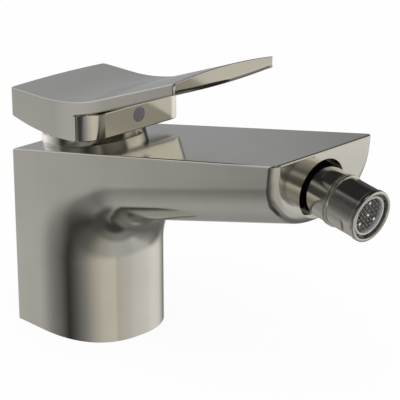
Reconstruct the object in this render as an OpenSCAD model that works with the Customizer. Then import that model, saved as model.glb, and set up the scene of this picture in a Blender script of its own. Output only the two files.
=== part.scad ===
/* [Body] */
// Width of the column and of the spout
body_w = 51.6; // [50:0.2:54]
// Distance from the cartridge axis to the flat back of the column
back_y = 21; // [20.5:0.5:23]
// Distance from the cartridge axis to the front of the column
column_front = 27.5; // [26.5:0.5:30]
// Height of the body at its back edge
back_h = 75; // [74.5:0.5:78]
// Rise of the top face towards the spout, in degrees
top_rise = 11.5; // [10:0.5:12]
// Rise of the spout's underside, in degrees
under_rise = 14.6; // [13:0.2:15]
// Squareness of the curve across the column's front and the spout's underside
section_power = 2.7; // [2.5:0.1:3.1]
// Distance behind the cartridge axis at which the sides start to curve in
round_start = 9; // [6:0.5:11]
// Inside radius of the elbow below the spout
elbow_r = 22; // [20:1:24]
// Height at which the column starts to bend into the spout
elbow_z = 36; // [34:1:37]
// Distance from the cartridge axis to the top edge of the spout's front
spout_reach = 124.2; // [122:1:132]
// Undercut of the spout's front face, in degrees
front_undercut = 7; // [5:0.5:9]
// Wall of the hollow column
wall = 3.5; // [3:0.25:4]
// Height of the hollow in the column
hollow_h = 30; // [20:1:30]
// Diameter of the boss that holds the inlets and the stud
boss_d = 33; // [32:0.5:34]

/* [Inlets and fixing] */
// Major diameter of the two hose inlet threads
inlet_d = 10; // [9:0.5:10.5]
// Depth of the inlet threads
inlet_depth = 14; // [10:1:18]
// Distance of each inlet from the middle plane
inlet_x = 8; // [7.5:0.25:8.5]
// Distance of the inlets behind the cartridge axis
inlet_y = 4; // [3:0.5:5]
// Major diameter of the fixing stud's thread
stud_d = 8; // [6:1:8]
// Depth of the stud hole
stud_depth = 16; // [10:1:20]
// Distance of the stud in front of the cartridge axis
stud_y = 10; // [9.5:0.5:10.5]
// Bore of the waterways
water_d = 6.5; // [5:0.5:7]
// Thickness of the base gasket
gasket_t = 2.5; // [2:0.25:3]
// Width of the step that seats the base gasket
gasket_step = 1; // [0.6:0.2:1.4]

/* [Cartridge] */
// Diameter of the cartridge housing
cart_d = 35; // [34:0.5:35.5]
// Height of the seat that the cartridge stands on
seat_z = 50; // [50:0.5:51]
// Thickness of the cartridge base
cart_base_t = 4.5; // [4:0.25:5]
// Thickness of the fixed ceramic disc
fixed_disc_t = 3.5; // [3:0.25:4]
// Diameter of the fixed ceramic disc
fixed_disc_d = 27; // [26:0.5:28]
// Thickness of the moving ceramic disc
moving_disc_t = 3; // [2.5:0.25:3.25]
// Diameter of the moving ceramic disc
moving_disc_d = 20; // [19:0.5:21]
// Thickness of the disc carrier
carrier_t = 3.4; // [3.2:0.2:3.8]
// Thickness of the driver's flange
flange_t = 2.6; // [2.2:0.2:3]
// Thickness of the slide ring above the driver's flange
slide_ring_t = 0.8; // [0.6:0.1:1.2]
// Wall of the cartridge housing
cart_wall = 2; // [1.6:0.2:2.2]
// Thickness of the housing's shoulder
shoulder_t = 2.2; // [2:0.2:2.6]
// Height of the housing's neck above its shoulder
neck_h = 7.2; // [6.5:0.1:7.4]
// Outer diameter of the housing's neck
neck_d = 29; // [28:0.5:30]
// Diameter of the driver's hub
hub_d = 23; // [22:0.5:23.5]
// Height of the hub above the neck
hub_rise = 2; // [1.5:0.25:2.5]
// Thickness of the hot limit ring on the neck
limit_t = 1.4; // [1:0.1:1.4]
// Diameter of each port through the cartridge
port_d = 6; // [5:0.5:6.5]
// Thickness of the rubber section of the port seals
seal_d = 1.6; // [1.4:0.1:1.8]
// Diameter of the two locating pegs
peg_d = 4; // [3.5:0.25:4.5]
// Length of the locating pegs
peg_h = 3; // [2:0.5:4]
// Distance of each peg from the middle plane
peg_x = 11.5; // [11:0.25:12]
// Height of the retaining nut
nut_h = 8; // [7.5:0.25:8.5]
// Thread diameter of the retaining nut
nut_d = 36.4; // [36:0.1:37]

/* [Lever stem] */
// Side of the square stem
stem_w = 7; // [6:0.25:7.25]
// Height of the stem's pin above the seat
pin_rise = 21; // [20.5:0.25:21.5]
// Diameter of the stem's pin
pin_d = 3; // [2.5:0.25:3.5]
// Length of the stem's pin
pin_len = 19; // [17:0.5:20]
// Diameter of the cross bar at the stem's foot
foot_d = 4; // [3.5:0.25:4]
// Height of the stem's top above the seat
stem_rise = 46; // [44:0.5:46]
// Furthest that the lever lifts, in degrees
lift_max = 25; // [20:1:25]

/* [Cover ring] */
// Outer diameter of the cover ring
cover_d = 42; // [41.5:0.5:43]
// Wall of the cover ring
cover_wall = 1.3; // [1:0.1:1.6]
// Height of the cover ring
cover_h = 5.2; // [4.8:0.2:5.4]
// Thickness of the cover ring's inner lip
cover_lip_t = 1.2; // [0.8:0.1:1.4]
// Diameter of the opening in the lip
cover_opening = 30; // [29.5:0.5:31]

/* [Handle] */
// Width of the handle's plate
plate_w = 50; // [49:0.2:51]
// Thickness of the plate along its sides
plate_t = 3.4; // [3:0.2:3.6]
// How far the middle of the plate's top stands above its sides
plate_crown = 1.4; // [0.8:0.2:1.8]
// How far the middle of the plate's underside hangs below its sides
plate_belly = 2; // [1:0.2:2]
// Height of the plate's top at its back edge
plate_z = 100.5; // [100:0.5:102]
// Distance from the cartridge axis to the handle's back
handle_back = 21.8; // [21:0.2:23]
// Slope of the plate's flat back part, in degrees
plate_back_rise = 0.5; // [0.5:0.5:2]
// Slope of the raised front part, in degrees
plate_front_rise = 19.7; // [18:0.1:21]
// Distance behind the cartridge axis at which the bend starts
bend_back = 4; // [0:1:8]
// Radius of the bend
bend_r = 105; // [95:5:110]
// Distance from the cartridge axis to the plate's front edge
plate_reach = 75; // [72:1:84]
// Height of the upper facet of the plate's front edge at its corners
front_facet = 2.8; // [2:0.2:3]
// Slope of the lower facet of the plate's front edge, in degrees
facet_tilt = 20; // [15:1:30]
// Distance from the cartridge axis to the block's front face
block_front = 27.25; // [26.5:0.25:28]
// Radius of the block's front corners
block_corner_r = 11; // [9:0.5:12]
// Lowest height of the block's curved underside
block_z = 86; // [86:0.25:87]
// Radius of the curved underside
block_under_r = 106; // [95:1:115]
// Wall of the block
block_wall = 2.8; // [2.4:0.2:3]
// Thickness of the plate and ceiling above the block's hollow
ceiling_t = 5; // [4.5:0.5:5.5]
// Diameter of the socket boss
socket_d = 13; // [12.5:0.25:13.5]
// Thread diameter of the grub screw
grub_d = 5; // [4:0.5:5.5]
// Length of the grub screw
grub_len = 8; // [6:0.5:9]
// Diameter of the indicator plug
plug_d = 6; // [5.8:0.1:6.4]
// Depth of the indicator plug
plug_t = 3; // [2:0.25:4]
// Height of the plug above the block's lowest point
plug_rise = 9; // [8.6:0.2:9.4]

/* [Swivel outlet] */
// Distance from the cartridge axis to the centre of the ball
ball_y = 121; // [120.5:0.25:121.5]
// Height of the ball's centre
ball_z = 90.3; // [90:0.1:90.8]
// Downward tilt of the outlet at rest, in degrees
outlet_tilt = 10; // [8:0.5:12]
// Radius of the ball
ball_r = 6; // [5.75:0.05:6.1]
// Radius of the recess in the spout's front
recess_r = 11.5; // [11.3:0.1:11.6]
// Distance from the ball's centre back to the nipple's seat
recess_back = 12; // [11.75:0.05:12.25]
// Major diameter of the nipple's thread
nipple_d = 10; // [9:0.5:10]
// Length of the nipple's thread
nipple_len = 6; // [4.5:0.5:6]
// Width of the nipple's flange outside its thread
nipple_flange_w = 1.6; // [1.4:0.1:1.7]
// Thickness of the nipple's flange
nipple_flange_t = 1.4; // [1.2:0.1:1.5]
// Radius of the nipple's neck
nipple_neck_r = 3.4; // [3.2:0.1:3.6]
// Bore of the nipple
nipple_bore = 4.8; // [4:0.2:4.8]
// Thickness of the slip liner round the ball
liner_t = 0.55; // [0.4:0.05:0.6]
// Outer radius of the round end of the swivel shell
shell_r = 9.7; // [9.6:0.05:9.8]
// Radius of the shell and of the sleeve
sleeve_r = 9.5; // [9.4:0.05:9.6]
// Inner radius of the shell's bore
shell_bore_r = 8.05; // [7.9:0.05:8.1]
// Distance from the ball's centre to the shell's end
shell_end = 13.3; // [12.8:0.1:13.8]
// Distance from the ball's centre to the outlet's end
outlet_end = 27.4; // [27:0.2:30]
// Width of each of the two raised rings at the joint
ring_w = 0.8; // [0.6:0.1:1]
// Height of the raised rings
ring_h = 0.5; // [0.3:0.1:0.6]
// Width of the rim at the outlet's end
rim_w = 1.8; // [1.4:0.1:2.2]
// Distance across the spanner flats
flats_w = 17.8; // [17.6:0.1:18.4]
// Length of the spanner flats
flats_len = 6; // [4:0.5:7]

/* [Aerator] */
// Radius of the aerator cage
cage_r = 8.4; // [8.2:0.05:8.4]
// Radius of the cage's front ring
cage_front_r = 7.5; // [7.4:0.1:7.7]
// Inner radius of the cage
cage_bore_r = 6.7; // [6.4:0.1:6.7]
// Thickness of the sealing washer
washer_t = 1.5; // [1:0.25:2]
// Thickness of the flow disc
flow_disc_t = 2; // [1.5:0.25:2.5]
// Number of holes in the flow disc
flow_holes = 8; // [6:1:10]
// Thickness of the wire screen
screen_t = 0.4; // [0.3:0.1:0.5]
// Radius of each support pin behind the screen
prop_r = 0.45; // [0.35:0.05:0.5]
// Distance of the outer support pins from the middle
prop_ring_r = 4.6; // [4:0.2:5]

/* [Clearances] */
// Radial clearance between pieces that turn in each other
run = 0.05; // [0.03:0.01:0.08]
// Radial clearance between pieces that are fixed in each other
seat = 0.1; // [0.06:0.02:0.14]
// Clearance between pieces that slide along each other
slide = 0.15; // [0.1:0.05:0.2]
// Gap between stacked pieces that move on each other
film = 0.02; // [0.01:0.01:0.04]

/* [Hidden] */
$fn = 96;
far = 200;
over = 1;
arc_step = 4;
section_steps = 26;
bend_steps = 10;
edge_steps = 12;
half_w = body_w / 2;
finish = [0.63, 0.62, 0.59];
finish_dark = [0.45, 0.44, 0.42];
brass = [0.78, 0.66, 0.36];
ceramic = [0.92, 0.9, 0.86];
plastic_white = [0.88, 0.88, 0.86];
plastic_grey = [0.45, 0.46, 0.48];
rubber = [0.12, 0.12, 0.12];
steel = [0.7, 0.71, 0.72];

// Half of the section, as far as it narrows: a quarter of a squared ellipse.
// Each point is [distance from the middle, depth behind the front].
section_depth = column_front + round_start;

function half_section(inset) =
    [for (i = [0:section_steps])
        let (a = 90 * i / section_steps, power = 2 / section_power)
        [(half_w - inset) * pow(sin(a), power),
            inset + (section_depth - inset) * (1 - pow(cos(a), power))]];

function section(inset, deep) =
    let (half = half_section(inset), n = len(half))
    concat(half, [[half_w - inset, deep], [inset - half_w, deep]],
        [for (i = [n - 1:-1:1]) [-half[i][0], half[i][1]]]);

function arc(c, r, a0, a1) =
    let (n = max(2, ceil(abs(a1 - a0) / arc_step)))
    [for (i = [0:n]) let (a = a0 + (a1 - a0) * i / n) c + r * [cos(a), sin(a)]];

// The elbow turns about an axis across the part, at this place.
elbow_y = -column_front - elbow_r;
elbow_turn = 90 - under_rise;

// The spout reaches this far into the elbow, this much inside its surface.
lap = 0.5;
lap_step = 0.02;

// Frame whose third axis runs along the spout and whose second points away from its underside
module on_spout() {
    translate([0, elbow_y, elbow_z]) rotate([elbow_turn, 0, 0]) children();
}

function top_z(y) = back_h + (back_y - y) * tan(top_rise);

spout_z = top_z(-spout_reach);

// Frame whose third axis points out of the outlet, from the centre of the ball
module on_outlet() {
    translate([0, -ball_y, ball_z]) rotate([90 + outlet_tilt, 0, 0]) children();
}

// Frame of the recess and the nipple, square to the spout's front
module on_nipple() {
    translate([0, -ball_y, ball_z]) rotate([90 + front_undercut, 0, 0]) children();
}

// Body cut to the flat back, the rising top and the undercut front
module body_block() {
    intersection() {
        union() {
            translate([0, -column_front, 0]) linear_extrude(elbow_z) polygon(section(0, far));
            translate([0, elbow_y, elbow_z]) rotate([90, 0, 90])
                rotate_extrude(angle = elbow_turn)
                    polygon([for (p = section(0, far)) [elbow_r + p[1], p[0]]]);
            on_spout() translate([0, 0, -lap]) linear_extrude(far) translate([0, elbow_r])
                polygon(section(lap_step, far));
        }
        translate([-far / 2, 0, 0]) rotate([90, 0, 90]) linear_extrude(far)
            polygon([[back_y, 0], [back_y, back_h], [-spout_reach, spout_z],
                [-spout_reach + spout_z * tan(front_undercut), 0]]);
    }
}

// Heights up through the cartridge
pin_z = seat_z + pin_rise;
stem_z = seat_z + stem_rise;
fixed_z = seat_z + cart_base_t;
moving_z = fixed_z + fixed_disc_t + film;
carrier_z = moving_z + moving_disc_t;
flange_gap = 0.3;
flange_z = carrier_z + carrier_t + flange_gap;
slide_z = flange_z + flange_t + film;
ceiling_z = slide_z + slide_ring_t;
shoulder_z = ceiling_z + shoulder_t;
neck_z = shoulder_z + neck_h;
hub_z = neck_z + hub_rise;
bore_r = cart_d / 2 + seat;
nut_bore_r = nut_d / 2 + seat;
cart_inner_r = cart_d / 2 - cart_wall;
cover_bore_r = cover_d / 2 - cover_wall;
collar_r = cover_bore_r - seat;
collar_z = shoulder_z + nut_h;
foot_z = carrier_z + foot_d / 2 + film;
foot_arm = pin_z - foot_z;
foot_neck_w = foot_d - 1;
foot_travel = foot_arm * sin(lift_max);
port_pitch = 14.8;
outlet_port_y = inlet_y - sqrt(pow(port_pitch, 2) - pow(inlet_x, 2));
ports = [[-inlet_x, inlet_y], [inlet_x, inlet_y], [0, outlet_port_y]];
peg_y = outlet_port_y;

// Waterway from below the seat, under the cartridge, round the elbow to the hollow spout.
// Each place is [distance behind the cartridge axis, height].
duct_start = [outlet_port_y, seat_z - 11];
duct_turn = [-column_front + 3, seat_z - 2.5];
duct_top = [-column_front - 6.5, elbow_z + elbow_r + 4];
hollow_r = 6;
hollow_half_w = 10.5;
hollow_depth = 15;
hollow_arm = elbow_r + hollow_depth;
duct_end = [elbow_y + hollow_arm * cos(elbow_turn) - hollow_r / 2, elbow_z + hollow_arm * sin(elbow_turn)];
hollow_end = (ball_y + elbow_y - recess_back - nipple_len) / cos(under_rise)
    + hollow_arm * sin(under_rise) + 0.5;

nipple_end = -recess_back - nipple_len;
nipple_flange_r = nipple_d / 2 + nipple_flange_w;
nipple_seal_r = nipple_d / 2 + seal_d;
thread_gap = 0.01;

module leg(a, b) {
    tilt = atan2(b[1] - a[1], a[0] - b[0]);
    translate([0, a[0], a[1]]) {
        rotate([90 - tilt, 0, 0]) cylinder(d = water_d, h = norm(b - a));
        sphere(r = water_d / 2 + seat);
    }
}

module ring(r_out, r_in, z0, z1) {
    translate([0, 0, z0]) difference() {
        cylinder(r = r_out, h = z1 - z0);
        translate([0, 0, -over]) cylinder(r = r_in, h = z1 - z0 + 2 * over);
    }
}

module body() {
    color(finish) difference() {
        union() {
            body_block();
            translate([0, 0, seat_z]) cylinder(r = collar_r, h = collar_z - seat_z);
        }
        difference() {
            translate([0, -column_front, -over]) linear_extrude(hollow_h + over)
                polygon(section(wall, back_y + column_front - wall));
            translate([0, 0, -over]) cylinder(d = boss_d, h = hollow_h + 2 * over);
        }
        difference() {
            translate([0, -column_front, -over]) linear_extrude(gasket_t + over)
                polygon(section(wall - gasket_step,
                    back_y + column_front - wall + gasket_step));
            translate([0, 0, -over]) cylinder(d = boss_d, h = gasket_t + 2 * over);
        }
        for (x = [-inlet_x, inlet_x]) {
            translate([x, inlet_y, -over]) cylinder(d = inlet_d, h = inlet_depth + over);
            translate([x, inlet_y, inlet_depth - over])
                cylinder(d = water_d, h = seat_z - inlet_depth + 2 * over);
        }
        translate([0, -stud_y, -over]) cylinder(d = stud_d, h = stud_depth + over);
        translate([0, 0, seat_z]) cylinder(r = bore_r, h = far);
        translate([0, 0, shoulder_z]) cylinder(r = nut_bore_r, h = far);
        translate([0, 0, collar_z]) cylinder(r = collar_r, h = far);
        for (x = [-peg_x, peg_x])
            translate([x, peg_y, seat_z - peg_h - seat]) cylinder(d = peg_d + 2 * seat, h = peg_h + over);
        translate([0, outlet_port_y, duct_start[1]])
            cylinder(d = water_d, h = seat_z - duct_start[1] + over);
        leg(duct_start, duct_turn);
        leg(duct_turn, duct_top);
        leg(duct_top, duct_end);
        on_spout() translate([0, hollow_arm, 0]) linear_extrude(hollow_end) {
            square([2 * hollow_half_w, 2 * hollow_r], center = true);
            translate([-hollow_half_w, 0]) circle(r = hollow_r);
            translate([hollow_half_w, 0]) circle(r = hollow_r);
        }
        on_nipple() {
            sphere(r = recess_r);
            cylinder(r = recess_r, h = far);
            translate([0, 0, -recess_back]) cylinder(r = nipple_flange_r + seat, h = recess_back);
            translate([0, 0, nipple_end - over]) cylinder(d = nipple_d, h = nipple_len + 2 * over);
            translate([0, 0, -recess_back - seal_d]) cylinder(r = nipple_seal_r + seat, h = seal_d + over);
        }
    }
}

module base_gasket() {
    gap = wall - gasket_step + seat;
    color(rubber) difference() {
        translate([0, -column_front, 0]) linear_extrude(gasket_t)
            polygon(section(gap, back_y + column_front - gap));
        translate([0, 0, -over]) cylinder(d = boss_d + 2 * seat, h = gasket_t + 2 * over);
    }
}

// Region between the body's top face and a plane this far above it
module above_top(rise, thick) {
    translate([-far / 2, 0, 0]) rotate([90, 0, 90]) linear_extrude(far)
        polygon([[far, top_z(far) + rise], [-far, top_z(-far) + rise],
            [-far, top_z(-far) + rise + thick], [far, top_z(far) + rise + thick]]);
}

module cover_ring() {
    color(finish) intersection() {
        difference() {
            cylinder(d = cover_d, h = far);
            translate([0, 0, -over]) cylinder(d = cover_opening, h = far + 2 * over);
            intersection() {
                cylinder(r = cover_bore_r, h = far);
                above_top(-over, cover_h - cover_lip_t + over);
            }
        }
        above_top(0, cover_h);
    }
}

// Width across, width along and twice the depth of the slots for the nut's key
nut_slot = [3, 4, 6];

module retaining_nut() {
    color(brass) difference() {
        translate([0, 0, shoulder_z]) cylinder(d = nut_d, h = nut_h);
        translate([0, 0, shoulder_z - over]) cylinder(r = neck_d / 2 + seat, h = nut_h + 2 * over);
        for (a = [45:90:315])
            rotate(a) translate([nut_d / 2, 0, collar_z]) cube(nut_slot, center = true);
    }
}

module cartridge_housing() {
    color(plastic_white) difference() {
        union() {
            translate([0, 0, fixed_z]) cylinder(d = cart_d, h = shoulder_z - fixed_z);
            translate([0, 0, shoulder_z]) cylinder(d = neck_d, h = neck_h);
        }
        translate([0, 0, fixed_z - over]) cylinder(r = cart_inner_r, h = ceiling_z - fixed_z + over);
        translate([0, 0, ceiling_z - over]) cylinder(r = hub_d / 2 + run, h = far);
    }
}

module cartridge_base() {
    color(plastic_grey) difference() {
        union() {
            translate([0, 0, seat_z]) cylinder(d = cart_d, h = cart_base_t);
            for (x = [-peg_x, peg_x])
                translate([x, peg_y, seat_z - peg_h]) cylinder(d = peg_d, h = peg_h + over);
        }
        for (p = ports) {
            translate([p[0], p[1], seat_z - over]) cylinder(d = port_d, h = cart_base_t + 2 * over);
            translate([p[0], p[1], seat_z - over])
                cylinder(r = port_d / 2 + seal_d + seat, h = seal_d + over);
        }
    }
}

module port_seals() {
    color(rubber) for (p = ports)
        translate([p[0], p[1], 0])
            ring(port_d / 2 + seal_d, port_d / 2 + 4 * seat, seat_z, seat_z + seal_d);
}

disc_port_d = port_d - 1;

module fixed_disc() {
    color(ceramic) difference() {
        translate([0, 0, fixed_z]) cylinder(d = fixed_disc_d, h = fixed_disc_t);
        for (p = ports)
            translate([p[0], p[1], fixed_z - over]) cylinder(d = disc_port_d, h = fixed_disc_t + 2 * over);
    }
}

// The disc and its carrier stand half their travel off the axis when the lever is down.
disc_y = foot_travel / 2;
mix_depth = 1.6;
mix_r = moving_disc_d / 2 - 3;

module moving_disc() {
    color(ceramic) difference() {
        translate([0, disc_y, moving_z]) cylinder(d = moving_disc_d, h = moving_disc_t);
        translate([0, disc_y, moving_z - over]) intersection() {
            cylinder(r = mix_r, h = mix_depth + over);
            translate([-far / 2, -far, 0]) cube([far, far, far]);
        }
    }
}

rail_x = 8;
rail_w = 3;
rail_len = 11;
rail_h = 1.5;

module disc_carrier() {
    color(plastic_grey) difference() {
        union() {
            translate([0, disc_y, carrier_z]) cylinder(d = moving_disc_d, h = carrier_t);
            for (x = [-rail_x, rail_x])
                translate([x - rail_w / 2, disc_y - rail_len / 2, carrier_z])
                    cube([rail_w, rail_len, carrier_t + rail_h]);
        }
        translate([-stem_w / 2 - slide, -foot_d / 2 - slide, carrier_z - over])
            cube([stem_w + 2 * slide, foot_d + 2 * slide, carrier_t + 2 * over]);
    }
}

stem_gap = stem_w / 2 + slide;
stem_swing = stem_w / 2 / cos(lift_max) + slide;
slot_back = stem_swing + (hub_z - pin_z) * tan(lift_max);
slot_front = stem_swing + (pin_z - flange_z) * tan(lift_max);

module driver() {
    color(plastic_white) difference() {
        union() {
            translate([0, 0, flange_z]) cylinder(r = cart_inner_r - run, h = flange_t);
            translate([0, 0, flange_z]) cylinder(d = hub_d, h = hub_z - flange_z);
        }
        translate([-stem_gap, -slot_front, flange_z - over])
            cube([2 * stem_gap, slot_front + slot_back, far]);
        translate([-far / 2, 0, pin_z]) rotate([0, 90, 0]) cylinder(d = pin_d + 2 * thread_gap, h = far);
        for (x = [-rail_x, rail_x])
            translate([x - rail_w / 2 - slide, -rail_len / 2 - foot_travel, flange_z - over])
                cube([rail_w + 2 * slide, rail_len + 2 * foot_travel, rail_h + over]);
    }
}

module slide_ring() {
    color(plastic_grey) ring(cart_inner_r - seat, hub_d / 2 + 2 * run, slide_z, ceiling_z);
}

module limit_ring() {
    color([0.75, 0.16, 0.13]) ring(neck_d / 2 - 4 * seat, hub_d / 2 + 2 * run, neck_z, neck_z + limit_t);
}

module lever_stem() {
    color(steel) difference() {
        union() {
            translate([-stem_w / 2, -stem_w / 2, pin_z - stem_w / 2])
                cube([stem_w, stem_w, stem_z - pin_z + stem_w / 2]);
            translate([-stem_w / 2, -foot_neck_w / 2, foot_z]) cube([stem_w, foot_neck_w, foot_arm]);
            translate([-stem_w / 2, 0, foot_z]) rotate([0, 90, 0]) cylinder(d = foot_d, h = stem_w);
        }
        translate([-far / 2, 0, pin_z]) rotate([0, 90, 0]) cylinder(r = pin_d / 2 + run, h = far);
    }
}

module stem_pin() {
    color(steel) translate([-pin_len / 2, 0, pin_z]) rotate([0, 90, 0]) cylinder(d = pin_d, h = pin_len);
}

// Top of the plate: a nearly flat back, a bend and a raised front.
// Each point is [distance behind the cartridge axis, height].
plate_half = plate_w / 2;
bend_start = [bend_back, plate_z + (handle_back - bend_back) * tan(plate_back_rise)];
bend_c = bend_start + bend_r * [sin(plate_back_rise), cos(plate_back_rise)];
bend_end = bend_c + bend_r * [-sin(plate_front_rise), -cos(plate_front_rise)];

function plate_line(drop) =
    let (front = bend_end + drop * [-sin(plate_front_rise), -cos(plate_front_rise)],
        reach = far * [-cos(plate_front_rise), sin(plate_front_rise)],
        back = bend_start + drop * [-sin(plate_back_rise), -cos(plate_back_rise)])
    concat([back + far * [cos(plate_back_rise), -sin(plate_back_rise)]],
        [for (i = [0:bend_steps])
            let (a = plate_back_rise + (plate_front_rise - plate_back_rise) * i / bend_steps)
            bend_c + (bend_r + drop) * [-sin(a), -cos(a)]],
        [front + reach]);

module side_profile(points) {
    translate([-far / 2, 0, 0]) rotate([90, 0, 90]) linear_extrude(far) polygon(points);
}

// Arc through both corners of an edge, with its middle standing out by the bulge
function edge_arc(half, y, bulge, way) =
    let (r = (half * half + bulge * bulge) / (2 * bulge), a = asin(half / r))
    [for (i = [0:edge_steps])
        let (t = -a + 2 * a * i / edge_steps)
        [r * sin(t) * way, way * (r * cos(t) - r + bulge) + y]];

// Section across the plate. Each point is [distance from the middle, distance from the bend's axis].
function plate_section(inset) =
    [for (p = concat(edge_arc(plate_half - inset, -inset, plate_crown, 1),
        edge_arc(plate_half - inset, inset - plate_t, plate_belly, -1))) [p[0], bend_r - p[1]]];

// Frame on the bend's axis, whose second axis points at the plate and whose third runs back along it
module on_bend(rise) {
    translate([0, bend_c[0], bend_c[1]]) rotate([270 - rise, 0, 0]) children();
}

module plate_band() {
    on_bend(plate_back_rise) translate([0, 0, -lap]) linear_extrude(far)
        polygon(plate_section(lap_step));
    translate([0, bend_c[0], bend_c[1]]) rotate([90, 0, 90]) rotate(270 - plate_front_rise)
        rotate_extrude(angle = plate_front_rise - plate_back_rise)
            polygon([for (p = plate_section(0)) [p[1], p[0]]]);
    on_bend(plate_front_rise) translate([0, 0, lap - far]) linear_extrude(far)
        polygon(plate_section(lap_step));
}

// The plate's front edge is cut upright, and slopes back below the crease between its two facets.
front_top = bend_end[1] + (bend_end[0] + plate_reach) * tan(plate_front_rise);
crease_z = front_top - front_facet;

plate_corner_r = 1.6;

module plate_outline() {
    difference() {
        translate([-plate_half, -plate_reach]) square([plate_w, plate_reach + handle_back]);
        for (s = [-1, 1]) translate([s * plate_half, -plate_reach]) corner_cut(plate_corner_r, -s, 1);
    }
}

// What is cut from a square corner to round it; the corner is at the origin
module corner_cut(r, dx, dy) {
    difference() {
        translate([-dx, -dy] * over) scale([dx, dy]) square(r + over);
        translate([dx * r, dy * r]) circle(r = r);
    }
}

module block_outline(inset) {
    half = plate_half - inset;
    r = block_corner_r - inset;
    front = -block_front + inset;
    polygon(concat([[half, handle_back - inset], [-half, handle_back - inset]],
        arc([-half + r, front + r], r, 180, 270), arc([half - r, front + r], r, 270, 360)));
}

under_c = [-3, block_z + block_under_r];
front_extra = 1.2;
hollow_front = block_front - block_wall - front_extra;
hollow_ceiling = plate_z - ceiling_t;
plug_z = block_z + plug_rise;
rib_w = plug_d + 3.5;
rib_z = plug_z - plug_d / 2 - 1.6;
socket_depth = 9.5;
socket_z = hollow_ceiling - socket_depth;

module handle() {
    color(finish) difference() {
        union() {
            intersection() {
                plate_band();
                linear_extrude(far) plate_outline();
                side_profile([[handle_back, 0], [handle_back, far], [-plate_reach, far],
                    [-plate_reach, crease_z], [-plate_reach + crease_z * tan(facet_tilt), 0]]);
            }
            difference() {
                intersection() {
                    linear_extrude(far) block_outline(0);
                    side_profile(concat(plate_line(plate_t / 2), [[-far, 0], [far, 0]]));
                    translate([-far / 2, under_c[0], under_c[1]]) rotate([0, 90, 0])
                        cylinder(r = block_under_r, h = far, $fn = 4 * $fn);
                }
                intersection() {
                    linear_extrude(hollow_ceiling) block_outline(block_wall);
                    translate([-far / 2, -hollow_front, 0]) cube([far, far, far]);
                }
            }
            translate([0, 0, socket_z]) cylinder(d = socket_d, h = hollow_ceiling - socket_z + over);
            translate([-rib_w / 2, -hollow_front - over, rib_z])
                cube([rib_w, hollow_front + over - socket_d / 4, hollow_ceiling - rib_z + over]);
        }
        translate([-stem_w / 2 - slide, -stem_w / 2 - film, socket_z - over])
            cube([stem_w + 2 * slide, stem_w + slide + film, stem_z + slide - socket_z + over]);
        translate([0, 0, plug_z]) rotate([90, 0, 0]) {
            cylinder(d = grub_d + 2 * thread_gap, h = block_front + over);
            translate([0, 0, block_front - plug_t - seat]) cylinder(d = plug_d + 2 * thread_gap, h = far);
        }
    }
}

module grub_screw() {
    color(steel) translate([0, 0, plug_z]) rotate([90, 0, 0]) difference() {
        translate([0, 0, stem_w / 2]) cylinder(d = grub_d, h = grub_len);
        translate([0, 0, stem_w / 2 + grub_len * 2 / 3]) cylinder(d = grub_d / 2, h = grub_len, $fn = 6);
    }
}

module indicator_plug() {
    color(plastic_grey) translate([0, -block_front + plug_t, plug_z]) rotate([90, 0, 0])
        cylinder(d = plug_d, h = plug_t);
}

// Places along the outlet's axis, from the centre of the ball
ball_socket_r = ball_r + run;
seat_r = ball_socket_r + liner_t + run;
shell_back = 6.5;
shell_open_angle = 60;
shell_lip = 0.4;
liner_back = seat_r * 0.44;
liner_front = seat_r * 0.1;
shell_land = 1.6;
neck_bore_r = 6;
seat_back = 0.4;
seat_front = 7.2;
seat_bore_r = 3.6;
sleeve_bore_r = cage_r + seat;
sleeve_step = 16;
ring_gap = 0.3;
rim_h = 0.3;
rim_recess = 1;
cage_flange = 2.4;
screen_recess = 0.8;
former_gap = 0.6;
spoke_r = 0.55;
flow_hole_r = 0.6;
former_hole_r = 1.1;
cage_s = sleeve_step + washer_t;
former_s = cage_s + flow_disc_t;
cage_end = outlet_end - rim_recess;
cage_step = cage_end - cage_flange;
screen_s = cage_end - screen_recess - screen_t;

module ball_nipple() {
    color(finish) on_nipple() difference() {
        union() {
            translate([0, 0, nipple_end]) cylinder(d = nipple_d - 2 * thread_gap, h = nipple_len);
            translate([0, 0, -recess_back]) cylinder(r = nipple_flange_r, h = nipple_flange_t);
            translate([0, 0, -recess_back]) cylinder(r = nipple_neck_r, h = recess_back - ball_r / 2);
            sphere(r = ball_r);
        }
        translate([0, 0, nipple_end - over]) cylinder(d = nipple_bore, h = far);
    }
}

module nipple_seal() {
    color(rubber) on_nipple()
        ring(nipple_seal_r, nipple_d / 2 + run, -recess_back - seal_d, -recess_back);
}

module slip_liner() {
    color(plastic_white) on_outlet() intersection() {
        difference() {
            sphere(r = ball_socket_r + liner_t);
            sphere(r = ball_socket_r);
        }
        translate([0, 0, -liner_back]) cylinder(r = shell_r, h = liner_back + liner_front);
    }
}

module swivel_shell() {
    open_s = seat_r * cos(shell_open_angle);
    open_r = seat_r * sin(shell_open_angle);
    back_r = sqrt(shell_r * shell_r - shell_back * shell_back) - shell_lip;
    flare = (back_r - open_r) / (shell_back - open_s);
    color(finish_dark) on_outlet() difference() {
        union() {
            intersection() {
                sphere(r = shell_r);
                translate([0, 0, -shell_back]) cylinder(r = shell_r, h = shell_back + shell_land);
            }
            cylinder(r = sleeve_r, h = shell_end);
            translate([0, 0, shell_end - ring_w]) cylinder(r = sleeve_r + ring_h, h = ring_w);
        }
        sphere(r = seat_r);
        cylinder(r = shell_bore_r, h = far);
        translate([0, 0, -shell_back - over])
            cylinder(r1 = back_r + over * flare, r2 = open_r - over * flare,
                h = shell_back - open_s + 2 * over);
    }
}

module ball_seat() {
    color(plastic_white) on_outlet() difference() {
        translate([0, 0, seat_back]) cylinder(r = shell_bore_r - run, h = seat_front - seat_back);
        sphere(r = seat_r);
        cylinder(r = seat_bore_r, h = far);
        seal_groove(seal_d / 2 + run);
    }
}

seal_angle = 50;

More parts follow.
